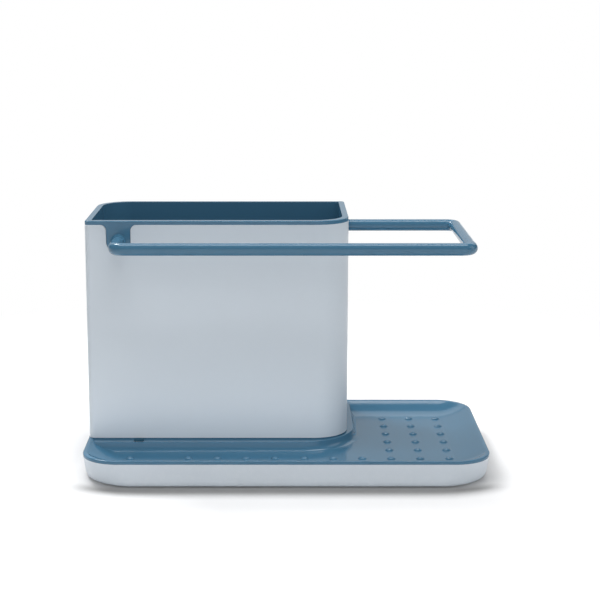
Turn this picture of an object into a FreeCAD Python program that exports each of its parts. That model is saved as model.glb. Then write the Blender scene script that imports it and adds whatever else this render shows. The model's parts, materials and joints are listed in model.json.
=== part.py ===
import FreeCAD, Part
import math
import os
import re

import Sketcher

# Sink caddy: a shallow base tray on four feet, a drip tray that lies in it, a tall sleeve that
# stands on the drip tray's plinth, a liner that hangs in the sleeve, and a round towel rail that
# the liner carries. Millimetres, +Z up, the front is -Y, the origin is under the tray's centre.

os.makedirs("parts", exist_ok=True)
doc = FreeCAD.newDocument("sink_caddy")
sizes = doc.addObject("Spreadsheet::Sheet", "sizes")

# Every driving dimension, in millimetres, degrees or counts
DIMENSIONS = [
    ("tray_length", 306.4, "both trays, outer length"),
    ("tray_width", 174.8, "both trays, outer width"),
    ("tray_corner", 28.0, "both trays, corner radius in plan"),
    ("foot_radius", 7.0, "rubber foot"),
    ("foot_stand", 0.6, "a foot stands this far below the base tray"),
    ("foot_seat", 0.8, "depth of the recess that a foot is glued in"),
    ("foot_edge", 0.4, "rounding of a foot's lower edge"),
    ("foot_inset", 36.0, "foot centre from the tray's ends and sides"),
    ("base_rise", 18.3, "base tray, height of its pale wall"),
    ("base_wall", 2.2, "base tray, wall thickness"),
    ("base_floor", 2.2, "base tray, floor thickness"),
    ("base_lean", 1.0, "base tray, how far its wall leans in from top to bottom"),
    ("base_edge", 5.0, "base tray, rounding of its lower edge"),
    ("sole_corner", 40.0, "base tray, corner radius at its underside, larger than at the top"),
    ("lip_rise", 2.5, "drip tray, visible height of its lip"),
    ("lip_width", 3.0, "drip tray, width of its lip"),
    ("lip_edge", 1.0, "drip tray, rounding of its lip"),
    ("lip_soft", 2.0, "drip tray, rounding where the lip turns down into the slope"),
    ("basin_depth", 8.0, "drip tray, floor below the lip's top"),
    ("slope_width", 22.0, "drip tray, width of the hollow slope inside the lip"),
    ("slope_radius", 46.0, "drip tray, radius of that hollow slope"),
    ("pan_wall", 2.0, "drip tray, thickness"),
    ("skirt_drop", 3.0, "drip tray, depth of the skirt that finds the base tray"),
    ("skirt_wall", 1.5, "drip tray, thickness of that skirt"),
    ("tray_slack", 0.3, "clearance between the skirt and the base tray's wall"),
    ("bump_radius", 3.3, "drainage bump"),
    ("bump_height", 1.8, "drainage bump, height over the floor"),
    ("bump_pitch", 22.0, "spacing of the bumps, both ways"),
    ("bump_end_gap", 29.6, "last bump's centre from the tray's right end"),
    ("bump_front_gap", 32.4, "first row's centre from the tray's front"),
    ("sleeve_length", 200.4, "sleeve, left to right"),
    ("sleeve_width", 110.4, "sleeve, front to back"),
    ("sleeve_height", 166.6, "sleeve, without the liner's flange"),
    ("sleeve_left_gap", 0.9, "sleeve's left face in from the tray's left end"),
    ("sleeve_back_gap", 4.0, "sleeve's back face in from the tray's back"),
    ("sleeve_wall", 2.3, "sleeve, wall thickness"),
    ("tight_corner", 4.0, "sleeve, front-left and back-right corners"),
    ("wide_corner", 26.5, "sleeve, front-right and back-left corners"),
    ("plinth_front", 8.1, "plinth, width of its ledge in front of the sleeve"),
    ("plinth_side", 5.6, "plinth, width of its ledge right of the sleeve"),
    ("plinth_corner", 45.0, "plinth, corner radius at the front right"),
    ("plinth_drop", 0.85, "plinth, its top below the lip's top"),
    ("plinth_edge", 0.6, "plinth, rounding of its upper edge"),
    ("plinth_lean", 1.4, "plinth, how far its wall leans out from top to bottom"),
    ("plinth_foot", 4.5, "plinth, radius of the hollow at its foot"),
    ("step_rise", 1.05, "seat step, height of the shadow gap under the sleeve"),
    ("step_inset", 0.6, "seat step, inset from the sleeve's face"),
    ("tongue_rise", 4.0, "tongue that the sleeve slips over, height over the step"),
    ("tongue_wall", 1.8, "tongue, thickness"),
    ("fit_slack", 0.3, "clearance between the sleeve and what is inside it"),
    ("notch_radius", 9.3, "U notch in the sleeve, radius of its foot"),
    ("notch_depth", 12.7, "U notch, centre of its foot below the sleeve's top"),
    ("notch_lip", 4.5, "U notch, rounding of its upper corners"),
    ("front_notch_place", 25.5, "front notch, centre from the sleeve's left face"),
    ("side_notch_place", 27.5, "right notch, centre from the sleeve's back face"),
    ("flange_rise", 3.0, "liner, thickness of its flange"),
    ("flange_edge", 0.9, "liner, rounding of its flange"),
    ("liner_wall", 2.3, "liner, wall thickness"),
    ("liner_floor", 2.4, "liner, floor thickness"),
    ("liner_lift", 1.5, "liner's underside above the tongue"),
    ("liner_tight", 2.0, "liner, inner radius of its tight corners"),
    ("rail_radius", 4.65, "towel rail"),
    ("rail_bend", 7.4, "towel rail, centre-line radius of its bends"),
    ("rail_front", 35.6, "towel rail, front bar's centre from the sleeve's front"),
    ("rail_reach", 88.3, "towel rail, cross bar's centre from the sleeve's right face"),
    ("root_radius", 5.9, "towel rail, root where it meets the liner"),
    ("root_length", 2.2, "towel rail, length of that root"),
    ("spigot_radius", 2.8, "towel rail, spigot in the liner's socket"),
    ("spigot_length", 3.2, "towel rail, length of the spigot"),
    ("slot_width", 7.7, "drain slot in the plinth's ledge, width"),
    ("slot_place", 38.8, "drain slot, centre from the sleeve's left face"),
    ("drain_radius", 3.5, "drain holes in the liner and the plinth"),
    ("drain_pitch", 26.0, "spacing of the drain holes"),
    ("overrun", 1.0, "how far a cut runs past what it cuts"),
]
DRAIN_HOLES = 6
CLOSE_SHARE = 0.01

for row, (alias, number, meaning) in enumerate(DIMENSIONS, start=1):
    sizes.set(f"A{row}", meaning)
    sizes.set(f"B{row}", str(number))
    sizes.setAlias(f"B{row}", alias)
doc.recompute()

# Places that several pieces share, as expressions on the sheet's aliases
DERIVED = {
    "half_length": "(tray_length / 2)",
    "half_width": "(tray_width / 2)",
    "base_top": "(foot_stand + base_rise)",
    "lip_top": "(base_top + lip_rise)",
    "floor_top": "(lip_top - basin_depth)",
    "plinth_top": "(lip_top - plinth_drop)",
    "step_top": "(plinth_top + step_rise)",
    "sleeve_left": "(sleeve_left_gap - half_length)",
    "sleeve_right": "(sleeve_left + sleeve_length)",
    "sleeve_back": "(half_width - sleeve_back_gap)",
    "sleeve_front": "(sleeve_back - sleeve_width)",
    "sleeve_top": "(step_top + sleeve_height)",
    "rail_level": "(sleeve_top - notch_depth)",
    "front_notch": "(sleeve_left + front_notch_place)",
    "side_notch": "(sleeve_back - side_notch_place)",
    "slope_end": "(lip_width + slope_width)",
    "skirt_start": "(base_wall + tray_slack)",
    "plinth_tuck": "(skirt_start + skirt_wall)",
    "liner_gap": "(sleeve_wall + fit_slack)",
    "liner_bottom": "(step_top + tongue_rise + liner_lift)",
}
ALIASES = [alias for alias, number, meaning in DIMENSIONS]
WORD = re.compile(r"[a-z][a-z_]*")


def on_sheet(text):
    """Turn plain words into a FreeCAD expression on the sheet."""
    def swap(match):
        word = match.group(0)
        if word in DERIVED:
            return on_sheet(DERIVED[word])
        return "sizes." + word if word in ALIASES else word
    return WORD.sub(swap, text)


def value(text):
    """The number that an expression has now."""
    return float(sizes.evalExpression(on_sheet(text)))


def bind(thing, name, text):
    """Tie a property of an object to the sheet."""
    thing.setExpression(name, on_sheet(text))


def new_body(label):
    body = doc.addObject("PartDesign::Body", label)
    body.Label = label
    return body


def plane_of(body, role):
    return next(item for item in body.Origin.OriginFeatures if item.Role == role)


def new_sketch(body, name, role, level):
    """A sketch on one of the body's origin planes, moved along the plane's normal."""
    sketch = body.newObject("Sketcher::SketchObject", f"{body.Name}_{name}")
    sketch.AttachmentSupport = (plane_of(body, role), [""])
    sketch.MapMode = "FlatFace"
    bind(sketch, ".AttachmentOffset.Base.z", level)
    return sketch


def arc_between(start, end, radius, turn):
    """The short arc from start to end: turn is 1 for a left turn and -1 for a right turn."""
    middle = (start + end) * 0.5
    chord = end - start
    across = FreeCAD.Vector(-chord.y, chord.x, 0).normalize()
    height = math.sqrt(max(radius ** 2 - (chord.Length / 2) ** 2, 0))
    centre = middle + across * (turn * height)
    first, last = (start, end) if turn > 0 else (end, start)
    angles = [math.atan2(point.y - centre.y, point.x - centre.x) for point in (first, last)]
    if angles[1] < angles[0]:
        angles[1] += 2 * math.pi
    return Part.ArcOfCircle(Part.Circle(centre, FreeCAD.Vector(0, 0, 1), radius), *angles)


def draw(sketch, corners, arcs=None, closed=True):
    """Draw a chain of lines and arcs through the corners, each corner and radius tied to the sheet.

    corners holds (x, y) expressions; arcs maps a segment's number to (radius, turn).
    """
    arcs = arcs or {}
    points = [FreeCAD.Vector(value(x), value(y), 0) for x, y in corners]
    count = len(points) if closed else len(points) - 1
    heads = []
    tails = []
    for index in range(count):
        start, end = points[index], points[(index + 1) % len(points)]
        if index in arcs:
            radius, turn = arcs[index]
            number = sketch.addGeometry(arc_between(start, end, value(radius), turn), False)
            heads.append((number, 1 if turn > 0 else 2))
            tails.append((number, 2 if turn > 0 else 1))
            rule = sketch.addConstraint(Sketcher.Constraint("Radius", number, value(radius)))
            bind(sketch, f"Constraints[{rule}]", radius)
        else:
            number = sketch.addGeometry(Part.LineSegment(start, end), False)
            heads.append((number, 1))
            tails.append((number, 2))
    for index in range(1, count):
        sketch.addConstraint(Sketcher.Constraint("Coincident", *tails[index - 1], *heads[index]))
    if closed:
        sketch.addConstraint(Sketcher.Constraint("Coincident", *tails[-1], *heads[0]))
    ends = heads if closed else heads + [tails[-1]]
    for (number, end), (x, y) in zip(ends, corners):
        for kind, text in (("DistanceX", x), ("DistanceY", y)):
            rule = sketch.addConstraint(Sketcher.Constraint(kind, -1, 1, number, end, value(text)))
            bind(sketch, f"Constraints[{rule}]", text)
    return sketch


def draw_circles(sketch, centres, radius):
    for x, y in centres:
        centre = FreeCAD.Vector(value(x), value(y), 0)
        circle = Part.Circle(centre, FreeCAD.Vector(0, 0, 1), value(radius))
        number = sketch.addGeometry(circle, False)
        for kind, text in (("DistanceX", x), ("DistanceY", y)):
            rule = sketch.addConstraint(Sketcher.Constraint(kind, -1, 1, number, 3, value(text)))
            bind(sketch, f"Constraints[{rule}]", text)
        rule = sketch.addConstraint(Sketcher.Constraint("Radius", number, value(radius)))
        bind(sketch, f"Constraints[{rule}]", radius)
    return sketch


def rounded(sketch, box, radii, inset="0"):
    """A rectangle with its own radius at each corner: front left, front right, back right, back left."""
    left, front = f"({box[0]} + {inset})", f"({box[2]} + {inset})"
    right, back = f"({box[1]} - {inset})", f"({box[3]} - {inset})"
    near_left, near_right, far_right, far_left = radii
    corners = [(f"{left} + {near_left}", front), (f"{right} - {near_right}", front),
               (right, f"{front} + {near_right}"), (right, f"{back} - {far_right}"),
               (f"{right} - {far_right}", back), (f"{left} + {far_left}", back),
               (left, f"{back} - {far_left}"), (left, f"{front} + {near_left}")]
    arcs = {1: (near_right, 1), 3: (far_right, 1), 5: (far_left, 1), 7: (near_left, 1)}
    return draw(sketch, corners, arcs)


def tray_outline(sketch, inset="0", radius=None):
    radius = radius or f"(tray_corner - {inset})"
    return rounded(sketch, ("-half_length", "half_length", "-half_width", "half_width"),
                   (radius,) * 4, inset)


def sleeve_outline(sketch, inset="0", tight=None):
    tight = tight or f"(tight_corner - {inset})"
    wide = f"(wide_corner - {inset})"
    return rounded(sketch, ("sleeve_left", "sleeve_right", "sleeve_front", "sleeve_back"),
                   (tight, wide, tight, wide), inset)


def pad(body, sketch, length, reverse=False, lean="0"):
    feature = body.newObject("PartDesign::Pad", f"{sketch.Name}_pad")
    feature.Profile = sketch
    feature.Reversed = reverse
    bind(feature, "Length", length)
    bind(feature, "TaperAngle", lean)
    return finish(body, feature, 1)


def pocket(body, sketch, length, reverse=False, lean="0"):
    feature = body.newObject("PartDesign::Pocket", f"{sketch.Name}_pocket")
    feature.Profile = sketch
    feature.Reversed = reverse
    bind(feature, "Length", length)
    bind(feature, "TaperAngle", lean)
    return finish(body, feature, -1)


def pipe(body, profile, path):
    feature = body.newObject("PartDesign::AdditivePipe", f"{profile.Name}_pipe")
    feature.Profile = profile
    feature.Spine = path
    return finish(body, feature, 1)


def loft(body, upper, lower, cut=False):
    """Straight walls from one outline to the one below it, added or cut away."""
    kind = "SubtractiveLoft" if cut else "AdditiveLoft"
    feature = body.newObject(f"PartDesign::{kind}", f"{upper.Name}_loft")
    feature.Profile = upper
    feature.Sections = [lower]
    feature.Ruled = True
    return finish(body, feature, -1 if cut else 1)


def fillet(body, radius, test):
    """Round the edges of the body's tip whose middle and ends all pass the test."""
    tip = body.Tip
    names = []
    for number, edge in enumerate(tip.Shape.Edges, start=1):
        half = (edge.FirstParameter + edge.LastParameter) / 2
        spots = [vertex.Point for vertex in edge.Vertexes] + [edge.valueAt(half)]
        if all(test(spot) for spot in spots):
            names.append(f"Edge{number}")
    if not names:
        raise RuntimeError(f"{body.Name} has no edge to round")
    feature = body.newObject("PartDesign::Fillet", f"{tip.Name}_fillet")
    feature.Base = (tip, names)
    bind(feature, "Radius", radius)
    return finish(body, feature, 0)


def finish(body, feature, sign):
    """Recompute a feature and check that it added or removed material as it should."""
    previous = feature.BaseFeature if hasattr(feature, "BaseFeature") else None
    before = previous.Shape.Volume if previous else 0
    body.Tip = feature
    doc.recompute()
    after = feature.Shape.Volume
    if "Invalid" in feature.State or "Error" in feature.State:
        raise RuntimeError(f"{feature.Name} failed: {feature.State}")
    if sign * (after - before) < 0 or (sign and after == before):
        raise RuntimeError(f"{feature.Name} has the wrong direction")
    return feature


def near(number, text):
    """True where a coordinate lies at the place that an expression gives."""
    return abs(number - value(text)) < value("overrun") * CLOSE_SHARE


FOOT_PLACES = {
    "foot_front_left": ("-half_length + foot_inset", "-half_width + foot_inset"),
    "foot_front_right": ("half_length - foot_inset", "-half_width + foot_inset"),
    "foot_back_left": ("-half_length + foot_inset", "half_width - foot_inset"),
    "foot_back_right": ("half_length - foot_inset", "half_width - foot_inset"),
}

DRAINS = [(f"sleeve_left + sleeve_length / 2 + ({hole} - {DRAIN_HOLES - 1} / 2) * drain_pitch",
           "sleeve_front + sleeve_width / 2") for hole in range(DRAIN_HOLES)]


def make_base_tray():
    """The pale tray that catches the water: its corners grow rounder downwards, and its lower edge is soft."""
    body = new_body("base_tray")
    sole = new_sketch(body, "sole", "XY_Plane", "foot_stand")
    loft(body, tray_outline(new_sketch(body, "outline", "XY_Plane", "base_top")),
         tray_outline(sole, "base_lean", "sole_corner"))
    fillet(body, "base_edge", lambda spot: near(spot.z, "foot_stand"))
    mouth = "(skirt_drop + tray_slack)"
    pocket(body, tray_outline(new_sketch(body, "mouth", "XY_Plane", "base_top"), "base_wall"), mouth)
    well = new_sketch(body, "well", "XY_Plane", "foot_stand + base_floor")
    loft(body, tray_outline(new_sketch(body, "ledge", "XY_Plane", f"base_top - {mouth}"), "base_wall"),
         tray_outline(well, "(base_wall + base_lean)", "(sole_corner - base_wall)"), cut=True)
    fillet(body, "base_edge - base_wall", lambda spot: near(spot.z, "foot_stand + base_floor"))
    seats = new_sketch(body, "foot_seats", "XY_Plane", "foot_stand")
    draw_circles(seats, FOOT_PLACES.values(), "foot_radius + tray_slack")
    pocket(body, seats, "foot_seat", reverse=True)
    return body


def make_foot(label, place):
    """A round rubber foot, flat on top and rounded below."""
    body = new_body(label)
    disc = draw_circles(new_sketch(body, "disc", "XY_Plane", "0"), [place], "foot_radius")
    pad(body, disc, "foot_stand + foot_seat")
    fillet(body, "foot_edge", lambda spot: near(spot.z, "0"))
    return body


def is_lip_edge(spot):
    """True on the crease where the flat of the lip turns down into the slope."""
    flat_x = value("half_length - lip_width")
    flat_y = value("half_width - lip_width")
    inside = abs(spot.x) < flat_x + value("lip_edge") / 2 and abs(spot.y) < flat_y + value("lip_edge") / 2
    return near(spot.z, "lip_top") and inside


def make_drip_pan():
    """The blue tray without its bumps: lip, hollow slopes, floor, plinth, seat step and tongue."""
    body = new_body("drip_pan")
    front = "-half_width"
    level = "base_top - skirt_drop"
    skirt_in = "(skirt_start + skirt_wall)"
    behind = f"({front} + {skirt_in})"
    chord = "sqrt(slope_width ^ 2 + basin_depth ^ 2)"
    tall = f"sqrt(slope_radius ^ 2 - ({chord} / 2) ^ 2)"
    centre_in = f"(lip_width + slope_width / 2 + basin_depth / {chord} * {tall})"
    centre_up = f"(floor_top + basin_depth / 2 + slope_width / {chord} * {tall})"
    under = "(slope_radius + pan_wall)"
    meet = f"({centre_up} - sqrt({under} ^ 2 - ({centre_in} - {skirt_in}) ^ 2))"
    corners = [(front, "base_top"),
               (f"{front} + skirt_start", "base_top"),
               (f"{front} + skirt_start", level),
               (behind, level),
               (behind, meet),
               (f"{front} + slope_end", "floor_top - pan_wall"),
               (f"{front} + slope_end", "floor_top"),
               (f"{front} + lip_width", "lip_top"),
               (f"{front} + lip_edge", "lip_top"),
               (front, "lip_top - lip_edge")]
    arcs = {4: (under, 1), 6: ("slope_radius", -1), 8: ("lip_edge", 1)}
    band = new_sketch(body, "band", "YZ_Plane", "tray_corner - half_length")
    draw(band, corners, arcs)
    path = tray_outline(new_sketch(body, "band_path", "XY_Plane", "base_top"))
    pipe(body, band, path)
    fillet(body, "lip_soft", is_lip_edge)
    floor = tray_outline(new_sketch(body, "floor", "XY_Plane", "floor_top - pan_wall"), "slope_end")
    pad(body, floor, "pan_wall")
    add_plinth(body)
    return body


def plinth_outline(sketch, inset="0"):
    """The plinth: up to the lip at the left and back, a ledge round the sleeve at the front and right."""
    box = ("plinth_tuck - half_length", "sleeve_right + plinth_side",
           "sleeve_front - plinth_front", "half_width - plinth_tuck")
    return rounded(sketch, box, ("tight_corner", f"(plinth_corner - {inset})",
                                 "tight_corner", f"(tray_corner - plinth_tuck - {inset})"), inset)


def add_plinth(body):
    """The raised plinth with its hollow foot, seat step, tongue, drain slot and drain holes."""
    hollow = "(pan_wall + plinth_edge)"
    below = "floor_top - pan_wall"
    core = plinth_outline(new_sketch(body, "core", "XY_Plane", below), hollow)
    pocket(body, core, "basin_depth + pan_wall + overrun", reverse=True)
    block = plinth_outline(new_sketch(body, "block", "XY_Plane", below), "plinth_edge")
    pad(body, block, "plinth_top - floor_top + pan_wall")

    face = "(sleeve_front - plinth_front)"
    side = "(sleeve_right + plinth_side)"
    inner = f"({face} + 2 * plinth_edge)"
    brow = f"({face} + plinth_edge)"
    drop = "(plinth_top - plinth_edge - floor_top)"
    wall = f"sqrt(plinth_lean ^ 2 + {drop} ^ 2)"
    curve = f"(plinth_foot * {drop} / ({wall} + plinth_lean))"
    corner = f"{face} - plinth_lean"
    knee = (f"{corner} + {curve} * plinth_lean / {wall}", f"floor_top + {curve} * {drop} / {wall}")
    foot = f"({corner} - {curve})"
    sunk = "(floor_top - pan_wall / 2)"
    corners = [(foot, sunk), (inner, sunk), (inner, "plinth_top"), (brow, "plinth_top"),
               (face, "plinth_top - plinth_edge"), knee, (foot, "floor_top")]
    arcs = {3: ("plinth_edge", 1), 5: ("plinth_foot", -1)}
    flare = new_sketch(body, "flare", "YZ_Plane", "plinth_tuck - half_length")
    draw(flare, corners, arcs)
    path = new_sketch(body, "flare_path", "XY_Plane", "floor_top")
    draw(path, [("plinth_tuck - half_length", face), (f"{side} - plinth_corner", face),
                (side, f"{face} + plinth_corner"), (side, "half_width - plinth_tuck")],
         {1: ("plinth_corner", 1)}, closed=False)
    pipe(body, flare, path)

    step = sleeve_outline(new_sketch(body, "step", "XY_Plane", "plinth_top"), "step_inset")
    pad(body, step, "step_rise")
    inner = "(sleeve_wall + fit_slack)"
    tongue = new_sketch(body, "tongue", "XY_Plane", "step_top")
    pad(body, sleeve_outline(tongue, inner, "liner_tight"), "tongue_rise")
    well = sleeve_outline(new_sketch(body, "well", "XY_Plane", "plinth_top"),
                          f"({inner} + tongue_wall)", "liner_tight")
    pocket(body, well, "step_rise + tongue_rise + overrun", reverse=True)
    under = plinth_outline(new_sketch(body, "under", "XY_Plane", below), hollow)
    pocket(body, under, "basin_depth - plinth_drop", reverse=True)
    slot = new_sketch(body, "slot", "XY_Plane", "plinth_top - overrun - pan_wall")
    left, right = "sleeve_left + slot_place - slot_width / 2", "sleeve_left + slot_place + slot_width / 2"
    front, back = f"{face} + 2 * plinth_edge", "sleeve_front + step_inset"
    draw(slot, [(left, front), (right, front), (right, back), (left, back)])
    pocket(body, slot, "pan_wall + 2 * overrun", reverse=True)
    drains = new_sketch(body, "drains", "XY_Plane", "plinth_top - overrun - pan_wall")
    draw_circles(drains, DRAINS, "drain_radius")
    pocket(body, drains, "pan_wall + 2 * overrun", reverse=True)


def make_bump(place):
    """A drainage bump: a low cap of a sphere that stands on the drip tray's floor."""
    x, y = place
    ball = "((bump_radius ^ 2 + bump_height ^ 2) / (2 * bump_height))"
    bump = doc.addObject("Part::Sphere", "bump")
    bind(bump, "Radius", ball)
    bind(bump, "Angle1", f"asin(({ball} - bump_height - pan_wall / 4) / {ball})")
    bind(bump, "Placement.Base.x", x)
    bind(bump, "Placement.Base.y", y)
    bind(bump, "Placement.Base.z", f"floor_top + bump_height - {ball}")
    return bump


def fitting(room):
    """How many bumps a pitch apart stand in a length, the first one at its end."""
    return max(math.floor(value(f"({room}) / bump_pitch")) + 1, 0)


def bump_places():
    """Columns of bumps right of the plinth, and the rows in front of it, which go on to the left."""
    columns = fitting("half_length - bump_end_gap - sleeve_right - plinth_side - plinth_lean - plinth_foot - bump_radius")
    rows = fitting("tray_width - bump_front_gap - slope_end - bump_radius")
    strip = "half_width + sleeve_front - plinth_front - plinth_lean - plinth_foot"
    front_rows = fitting(f"{strip} - bump_front_gap - bump_radius")
    along = fitting("tray_length - bump_end_gap - slope_end - bump_radius")
    bare = along - 2
    for column in range(along):
        for row in range(rows if column < columns else front_rows):
            if column != bare:
                yield (f"half_length - bump_end_gap - {column} * bump_pitch",
                       f"-half_width + bump_front_gap + {row} * bump_pitch")


def make_drip_tray():
    """The drip pan with its bumps."""
    tray = doc.addObject("Part::MultiFuse", "drip_tray")
    tray.Shapes = [make_drip_pan()] + [make_bump(place) for place in bump_places()]
    tray.Label = "drip_tray"
    return tray


def notch_corners(centre, slack):
    """A U notch, open at the top, with rounded upper corners; slack makes it smaller."""
    radius = f"(notch_radius - {slack})"
    curl = f"(notch_lip + {slack})"
    out = "(notch_radius + notch_lip)"
    shoulder = "(sleeve_top - notch_lip)"
    corners = [(f"{centre} - {out}", f"{shoulder} + {curl}"),
               (f"{centre} - {radius}", shoulder),
               (f"{centre} - {radius}", "rail_level"),
               (centre, f"rail_level - {radius}"),
               (f"{centre} + {radius}", "rail_level"),
               (f"{centre} + {radius}", shoulder),
               (f"{centre} + {out}", f"{shoulder} + {curl}")]
    arcs = {0: (curl, -1), 2: (radius, 1), 3: (radius, 1), 5: (curl, -1)}
    return corners, arcs


def make_outer_sleeve():
    """The pale sleeve: open at both ends, with a U notch in its front and another in its right wall."""
    body = new_body("outer_sleeve")
    pad(body, sleeve_outline(new_sketch(body, "outline", "XY_Plane", "step_top")), "sleeve_height")
    inside = sleeve_outline(new_sketch(body, "inside", "XY_Plane", "step_top - overrun"), "sleeve_wall")
    pocket(body, inside, "sleeve_height + 2 * overrun", reverse=True)
    depth = "sleeve_wall + 2 * overrun"
    for name, plane, level, centre in (
            ("front_notch", "XZ_Plane", "overrun - sleeve_front", "front_notch"),
            ("side_notch", "YZ_Plane", "sleeve_right + overrun", "side_notch")):
        corners, arcs = notch_corners(centre, "0")
        above = "sleeve_top + overrun"
        corners = corners + [(corners[-1][0], above), (corners[0][0], above)]
        notch = draw(new_sketch(body, name, plane, level), corners, arcs)
        pocket(body, notch, depth)
    return body


def make_inner_liner():
    """The blue liner: a flange that lies on the sleeve, a deep cup, and two bosses with rail sockets."""
    body = new_body("inner_liner")
    flange = sleeve_outline(new_sketch(body, "flange", "XY_Plane", "sleeve_top"))
    pad(body, flange, "flange_rise")
    fillet(body, "flange_edge", lambda spot: near(spot.z, "sleeve_top + flange_rise"))
    cup = sleeve_outline(new_sketch(body, "cup", "XY_Plane", "liner_bottom"), "liner_gap")
    pad(body, cup, "sleeve_top - liner_bottom + flange_rise / 2")
    boss_depth = "(liner_gap + liner_wall / 2)"
    for name, plane, level, centre in (
            ("front_boss", "XZ_Plane", f"-sleeve_front - {boss_depth}", "front_notch"),
            ("side_boss", "YZ_Plane", f"sleeve_right - {boss_depth}", "side_notch")):
        corners, arcs = notch_corners(centre, "fit_slack")
        boss = draw(new_sketch(body, name, plane, level), corners, arcs)
        pad(body, boss, boss_depth)
    wide = "(wide_corner - liner_gap - liner_wall)"
    inside = rounded(new_sketch(body, "inside", "XY_Plane", "liner_bottom + liner_floor"),
                     ("sleeve_left", "sleeve_right", "sleeve_front", "sleeve_back"),
                     ("liner_tight", wide, "liner_tight", wide), "(liner_gap + liner_wall)")
    pocket(body, inside, "sleeve_top - liner_bottom + flange_rise", reverse=True)
    for name, plane, level, centre in (
            ("front_socket", "XZ_Plane", "-sleeve_front", "front_notch"),
            ("side_socket", "YZ_Plane", "sleeve_right", "side_notch")):
        socket = new_sketch(body, name, plane, level)
        draw_circles(socket, [(centre, "rail_level")], "spigot_radius + fit_slack")
        pocket(body, socket, "spigot_length + fit_slack")
    drains = new_sketch(body, "drains", "XY_Plane", "liner_bottom - overrun")
    draw_circles(drains, DRAINS, "drain_radius")
    pocket(body, drains, "liner_floor + 2 * overrun", reverse=True)
    return body


def make_towel_rail():
    """The round blue rail: out from the front boss, along the front, back, and in to the right boss."""
    body = new_body("towel_rail")
    front = "(sleeve_front - rail_front)"
    right = "(sleeve_right + rail_reach)"
    path = new_sketch(body, "path", "XY_Plane", "rail_level")
    corners = [("front_notch", "sleeve_front"),
               ("front_notch", f"{front} + rail_bend"), ("front_notch + rail_bend", front),
               (f"{right} - rail_bend", front), (right, f"{front} + rail_bend"),
               (right, "side_notch - rail_bend"), (f"{right} - rail_bend", "side_notch"),
               ("sleeve_right", "side_notch")]
    draw(path, corners, {1: ("rail_bend", 1), 3: ("rail_bend", 1), 5: ("rail_bend", 1)}, closed=False)
    section = new_sketch(body, "section", "XZ_Plane", "-sleeve_front")
    draw_circles(section, [("front_notch", "rail_level")], "rail_radius")
    pipe(body, section, path)
    for name, plane, level, centre in (
            ("front", "XZ_Plane", "-sleeve_front", "front_notch"),
            ("side", "YZ_Plane", "sleeve_right", "side_notch")):
        root = body.newObject("PartDesign::AdditiveCone", f"{name}_root")
        root.AttachmentSupport = (plane_of(body, plane), [""])
        root.MapMode = "FlatFace"
        bind(root, ".AttachmentOffset.Base.x", centre)
        bind(root, ".AttachmentOffset.Base.y", "rail_level")
        bind(root, ".AttachmentOffset.Base.z", level)
        bind(root, "Radius1", "root_radius")
        bind(root, "Radius2", "rail_radius")
        bind(root, "Height", "root_length")
        finish(body, root, 1)
        spigot = new_sketch(body, f"{name}_spigot", plane, level)
        draw_circles(spigot, [(centre, "rail_level")], "spigot_radius")
        pad(body, spigot, "spigot_length", reverse=True)
    return body


def check(piece):
    """Stop if any object has failed or a sub-part's shape is null, empty or broken."""
    for thing in doc.Objects:
        if "Invalid" in thing.State or "Error" in thing.State:
            raise RuntimeError(f"{thing.Name}: {thing.State}")
    if piece.Shape.isNull() or not piece.Shape.isValid() or not piece.Shape.Solids:
        raise RuntimeError(f"{piece.Label} has no valid solid")


pieces = [make_base_tray()]
pieces += [make_foot(label, place) for label, place in FOOT_PLACES.items()]
pieces += [make_drip_tray(), make_outer_sleeve(), make_inner_liner(), make_towel_rail()]
doc.recompute()

for piece in pieces:
    check(piece)
    box = piece.Shape.optimalBoundingBox()
    print(piece.Label, len(piece.Shape.Solids), "solid(s),", round(piece.Shape.Volume), "mm3, box",
          [round(number, 2) for number in (box.XMin, box.XMax, box.YMin, box.YMax, box.ZMin, box.ZMax)])
for piece in pieces:
    piece.Shape.exportStep(f"parts/{piece.Label}.step")
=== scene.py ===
"""A sink caddy: a tall sleeve with a lift-out liner and a round towel rail, on a bumped drip tray.

The frame's own solids are shown. This script adds their finishes, the studio and the camera.
"""

import json
import math

import bmesh
import bpy
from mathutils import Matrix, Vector

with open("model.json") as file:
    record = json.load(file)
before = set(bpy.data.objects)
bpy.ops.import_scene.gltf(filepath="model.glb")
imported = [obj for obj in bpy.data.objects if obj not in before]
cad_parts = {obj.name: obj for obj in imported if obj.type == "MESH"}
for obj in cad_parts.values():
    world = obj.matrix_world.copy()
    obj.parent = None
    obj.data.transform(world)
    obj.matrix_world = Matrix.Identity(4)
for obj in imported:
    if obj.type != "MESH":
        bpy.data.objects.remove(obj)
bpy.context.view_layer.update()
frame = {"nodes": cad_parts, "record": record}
nodes = frame["nodes"]


# ---------------------------------------------------------------- shader maths


class Socket:
    """One output of a shader node. Expressions on sockets and numbers add the Math nodes."""

    def __init__(self, finish, out):
        self.finish = finish
        self.out = out

    def maths(self, operation, *values, clamp=False):
        settings = {"operation": operation, "use_clamp": clamp}
        return self.finish.add("ShaderNodeMath", settings, dict(enumerate(values)))

    def __add__(self, other):
        return self.maths("ADD", self, other)

    __radd__ = __add__

    def __sub__(self, other):
        return self.maths("SUBTRACT", self, other)

    def __rsub__(self, other):
        return self.maths("SUBTRACT", other, self)

    def __mul__(self, other):
        return self.maths("MULTIPLY", self, other)

    __rmul__ = __mul__

    def clamped(self):
        return self.maths("ADD", self, 0.0, clamp=True)


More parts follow.
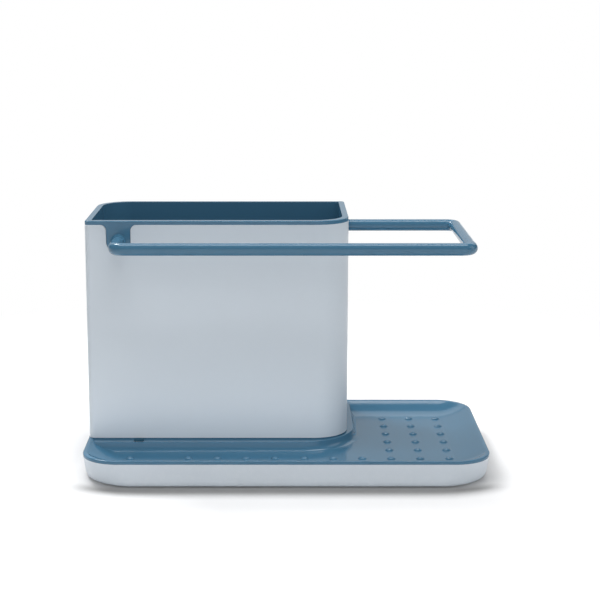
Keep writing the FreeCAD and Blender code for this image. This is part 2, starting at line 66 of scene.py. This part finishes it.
class Finish:
    """A material whose nodes are added one call at a time."""

    def __init__(self, name):
        self.material = bpy.data.materials.new(name)
        self.material.use_nodes = True
        self.tree = self.material.node_tree
        self.tree.nodes.clear()
        self.output = self.tree.nodes.new("ShaderNodeOutputMaterial")

    def add(self, kind, settings=None, inputs=None, out=0):
        """Adds a node, sets its settings, fills its sockets, and returns one of its outputs."""
        node = self.tree.nodes.new(kind)
        for name, value in (settings or {}).items():
            setattr(node, name, value)
        for name, value in (inputs or {}).items():
            if isinstance(value, Socket):
                self.tree.links.new(value.out, node.inputs[name])
            else:
                node.inputs[name].default_value = value
        return Socket(self, node.outputs[out])

    def place(self):
        return self.add("ShaderNodeTexCoord", out="Object")

    def axes(self):
        """The x, y and z of a point of the surface, in metres."""
        node = self.add("ShaderNodeSeparateXYZ", inputs={0: self.place()}).out.node
        return [Socket(self, node.outputs[i]) for i in range(3)]

    def noise(self, size, detail=2.0, roughness=0.5, stretch=(1, 1, 1)):
        """Noise with cells of about this size in metres. stretch scales it along each axis."""
        at = self.add("ShaderNodeMapping", inputs={"Vector": self.place(), "Scale": stretch})
        inputs = {"Vector": at, "Scale": 1.0 / size, "Detail": detail, "Roughness": roughness}
        return self.add("ShaderNodeTexNoise", {"noise_dimensions": "3D"}, inputs)

    def step(self, value, low, high):
        """A smooth step of value, 0 at low and 1 at high."""
        settings = {"interpolation_type": "SMOOTHSTEP", "clamp": True}
        inputs = {"Value": value, "From Min": low, "From Max": high, "To Min": 0.0, "To Max": 1.0}
        return self.add("ShaderNodeMapRange", settings, inputs)

    def mix(self, factor, first, second):
        """A colour between two colours."""
        inputs = {"Factor": factor, 6: first, 7: second}
        return self.add("ShaderNodeMix", {"data_type": "RGBA"}, inputs, out=2)

    def bump(self, height, depth, strength, under=None):
        """Bumps of this depth in metres, on top of those of another Bump node where one is given."""
        inputs = {"Height": height, "Distance": depth, "Strength": strength}
        if under is not None:
            inputs["Normal"] = under
        return self.add("ShaderNodeBump", inputs=inputs)

    def shine(self, **inputs):
        """The Principled shader, which ends the material."""
        sockets = {name.replace("_", " "): value for name, value in inputs.items()}
        self.show(self.add("ShaderNodeBsdfPrincipled", inputs=sockets))
        return self.material

    def show(self, shader):
        self.tree.links.new(shader.out, self.output.inputs["Surface"])


def tint(red, green, blue):
    """A colour as a screen shows it, 0 to 255, made linear."""
    def linear(level):
        level /= 255
        return level / 12.92 if level <= 0.04045 else ((level + 0.055) / 1.055) ** 2.4
    return (linear(red), linear(green), linear(blue), 1.0)


# ------------------------------------------------------------------- finishes


IOR = 1.5
# Heights of the sleeve's lower and upper edge at rest, and how far from them a lighter band is painted on
# as a highlight
SLEEVE_FOOT, SLEEVE_TOP = 0.0216, 0.1882
HIGHLIGHT_BAND = 0.0014


def make_pale_plastic():
    f = Finish("pale_plastic")
    height = f.axes()[2]
    cloud = f.noise(0.09, detail=2.0)
    grain = f.noise(0.0006, detail=2.0, roughness=0.6)
    flow = f.noise(0.035, detail=1.0, stretch=(1, 1, 0.35))
    wipe = f.step(f.noise(0.02, detail=4.0, roughness=0.62, stretch=(1, 1, 0.4)), 0.52, 0.72)
    colour = f.mix(cloud, tint(205, 214, 222), tint(209, 218, 226))
    colour = f.mix(f.step(grain, 0.35, 0.65) * 0.12, colour, tint(199, 208, 217))
    # Painted highlight: a lighter band at the heights of the sleeve's top and foot edges, broken up by
    # noise
    highlight_breakup = f.step(f.noise(0.004, detail=3.0), 0.5, 0.66)
    painted_edge_highlight = f.step(height, SLEEVE_TOP - HIGHLIGHT_BAND, SLEEVE_TOP) + f.step(height, SLEEVE_FOOT + HIGHLIGHT_BAND, SLEEVE_FOOT)
    colour = f.mix((painted_edge_highlight * highlight_breakup * 0.25).clamped(), colour, tint(214, 221, 228))
    normal = f.bump(grain, 0.00006, 0.5)
    normal = f.bump(flow, 0.0002, 0.15, normal)
    roughness = 0.36 + 0.05 * cloud + 0.04 * grain - 0.02 * wipe
    return f.shine(Base_Color=colour, Roughness=roughness, Normal=normal, IOR=IOR)


def make_blue_plastic():
    f = Finish("blue_plastic")
    cloud = f.noise(0.08, detail=2.0)
    grain = f.noise(0.0007, detail=2.0, roughness=0.6)
    flow = f.noise(0.04, detail=1.0)
    wipe = f.step(f.noise(0.018, detail=4.0, roughness=0.6), 0.5, 0.7)
    colour = f.mix(cloud, tint(66, 111, 139), tint(70, 115, 143))
    colour = f.mix(f.step(grain, 0.35, 0.65) * 0.1, colour, tint(80, 121, 147))
    normal = f.bump(grain, 0.00004, 0.45)
    normal = f.bump(flow, 0.0002, 0.2, normal)
    roughness = 0.1 + 0.03 * cloud + 0.03 * grain - 0.02 * wipe
    return f.shine(Base_Color=colour, Roughness=roughness, Normal=normal, IOR=IOR)


def make_foot_rubber():
    f = Finish("foot_rubber")
    grain = f.noise(0.0009, detail=3.0, roughness=0.6)
    dust = f.step(f.noise(0.006, detail=3.0), 0.45, 0.7)
    colour = f.mix(grain, tint(92, 96, 100), tint(104, 108, 112))
    colour = f.mix(dust * 0.3, colour, tint(128, 131, 133))
    normal = f.bump(grain, 0.0001, 0.6)
    return f.shine(Base_Color=colour, Roughness=0.72 + 0.1 * dust, Normal=normal, IOR=IOR)


FINISHES = {"pale_plastic": make_pale_plastic(), "blue_plastic": make_blue_plastic(),
            "foot_rubber": make_foot_rubber()}

for part in frame["record"]["subparts"]:
    slots = nodes[part["node"]].data.materials
    slots.clear()
    slots.append(FINISHES[part["material_slot"]])


# --------------------------------------------------------------------- studio


CAMERA_PLACE = (-0.0047, -1.1756, 0.3638)
CAMERA_TILT = 78.52
SENSOR_WIDTH, FOCAL_LENGTH = 36.0, 92.46
CAMERA_SHIFT = 0.0333

WHITE, BLACK = (1, 1, 1, 1), (0, 0, 0, 1)
FLOOR_COLOUR = (0.88, 0.88, 0.885, 1)
FLOOR_RADIUS, FLOOR_SIDES = 60.0, 96
FLOOR_GLOW = 0.09
# The floor turns to plain white between these distances from the part, in metres
FADE_START, FADE_END = 0.33, 0.62
# How near a thing shades the floor, and the share of light that the shade takes
SHADE_REACH, SHADE_SHARE = 0.03, 0.7
ROOM_COLOUR, ROOM_STRENGTH = (0.99, 0.995, 1.0, 1), 0.1

# Name, place, aim, power, width, height, and whether the plastic mirrors the lamp
LAMPS = (
    ("overhead", (0, 0.14, 1.45), (0, 0, 0.05), 12.0, 1.4, 0.6, True),
    ("front_top", (0, -0.5, 1.4), (0, -0.05, 0.1), 5.2, 0.8, 0.35, False),
    ("back_left", (-0.63, 0.65, 1.2), (0, 0, 0.05), 7.0, 0.3, 0.3, True),
    ("back_wall", (0, 1.8, 0.45), (0, 0, 0.5), 4.0, 3.2, 0.9, True),
    ("back_sky", (0, 1.6, 1.3), (0, 0, 0.3), 9.0, 3.2, 0.8, True),
    ("front_wall", (0, -1.7, 1.2), (0, 0, 0.6), 7.4, 3.0, 1.0, False),
    ("front_low", (0, -1.7, 0.32), (0, 0, 0.32), 3.6, 3.0, 0.6, True),
    ("right", (1.5, -0.2, 0.8), (0, 0, 0.1), 2.6, 0.8, 1.0, True),
    ("tray_fill", (-0.05, -0.084, 0.031), (-0.05, 0, 0.05), 0.022, 0.26, 0.01, False),
)


def make_camera():
    data = bpy.data.cameras.new("camera")
    data.sensor_width = SENSOR_WIDTH
    data.lens = FOCAL_LENGTH
    data.shift_x = CAMERA_SHIFT
    camera = bpy.data.objects.new("camera", data)
    camera.location = CAMERA_PLACE
    camera.rotation_euler = (math.radians(CAMERA_TILT), 0, 0)
    bpy.context.scene.collection.objects.link(camera)
    bpy.context.scene.camera = camera


def make_floor_finish():
    """A pale floor that ends in white. The camera and reflections also see the base's shade on it."""
    f = Finish("floor")
    ray = f.add("ShaderNodeLightPath").out.node
    seen = (Socket(f, ray.outputs["Is Camera Ray"]) + Socket(f, ray.outputs["Is Glossy Ray"])).clamped()
    x, y = f.axes()[:2]
    reach = x.maths("SQRT", x * x + y * y)
    far = f.step(reach, FADE_START, FADE_END)
    # In front of the base, and a little to its right, the floor lies in the base's own shade.
    open_sky = f.add("ShaderNodeAmbientOcclusion", {"samples": 32}, {"Distance": SHADE_REACH}, out="AO")
    hidden = 1.0 - f.step(open_sky, 0.66, 0.97)
    side = (f.step(y, -0.07, -0.092) + 0.35 * f.step(x, 0.12, 0.16)).clamped()
    shade = 1.0 - SHADE_SHARE * hidden * (0.15 + 0.85 * side)
    lit = f.add("ShaderNodeBsdfDiffuse", inputs={"Color": FLOOR_COLOUR})
    dim = f.add("ShaderNodeBsdfDiffuse", inputs={"Color": f.mix(shade, BLACK, FLOOR_COLOUR)})
    glow = f.add("ShaderNodeEmission", inputs={"Color": WHITE, "Strength": FLOOR_GLOW * shade})
    white = f.add("ShaderNodeEmission", inputs={"Color": WHITE, "Strength": 1.0})
    near = f.add("ShaderNodeAddShader", inputs={0: dim, 1: glow})
    shown = f.add("ShaderNodeMixShader", inputs={0: far, 1: near, 2: white})
    f.show(f.add("ShaderNodeMixShader", inputs={0: seen, 1: lit, 2: shown}))
    return f.material


def make_floor():
    mesh = bpy.data.meshes.new("floor")
    b = bmesh.new()
    bmesh.ops.create_circle(b, cap_ends=True, segments=FLOOR_SIDES, radius=FLOOR_RADIUS)
    b.to_mesh(mesh)
    b.free()
    floor = bpy.data.objects.new("floor", mesh)
    bpy.context.scene.collection.objects.link(floor)
    mesh.materials.append(make_floor_finish())


def make_lamp(name, place, aim, power, width, height, mirrored):
    """A soft lamp. One that isn't mirrored lights the plastic without a gleam on it."""
    data = bpy.data.lights.new(name, "AREA")
    data.energy = power
    data.shape = "RECTANGLE"
    data.size, data.size_y = width, height
    lamp = bpy.data.objects.new(name, data)
    lamp.location = place
    lamp.rotation_mode = "QUATERNION"
    lamp.rotation_quaternion = (Vector(aim) - Vector(place)).to_track_quat("-Z", "Y")
    lamp.visible_camera = False
    lamp.visible_glossy = mirrored
    bpy.context.scene.collection.objects.link(lamp)


def make_room():
    """A dim room all round, which the camera sees as plain white."""
    world = bpy.data.worlds.new("studio")
    bpy.context.scene.world = world
    world.use_nodes = True
    tree = world.node_tree
    tree.nodes.clear()
    out = tree.nodes.new("ShaderNodeOutputWorld")
    ray = tree.nodes.new("ShaderNodeLightPath")
    mix = tree.nodes.new("ShaderNodeMixShader")
    tree.links.new(ray.outputs["Is Camera Ray"], mix.inputs[0])
    for socket, colour, strength in ((1, ROOM_COLOUR, ROOM_STRENGTH), (2, WHITE, 1.0)):
        back = tree.nodes.new("ShaderNodeBackground")
        back.inputs["Color"].default_value = colour
        back.inputs["Strength"].default_value = strength
        tree.links.new(back.outputs[0], mix.inputs[socket])
    tree.links.new(mix.outputs[0], out.inputs["Surface"])


make_camera()
make_floor()
make_room()
for lamp_row in LAMPS:
    make_lamp(*lamp_row)
bpy.context.scene.view_settings.view_transform = "Standard"
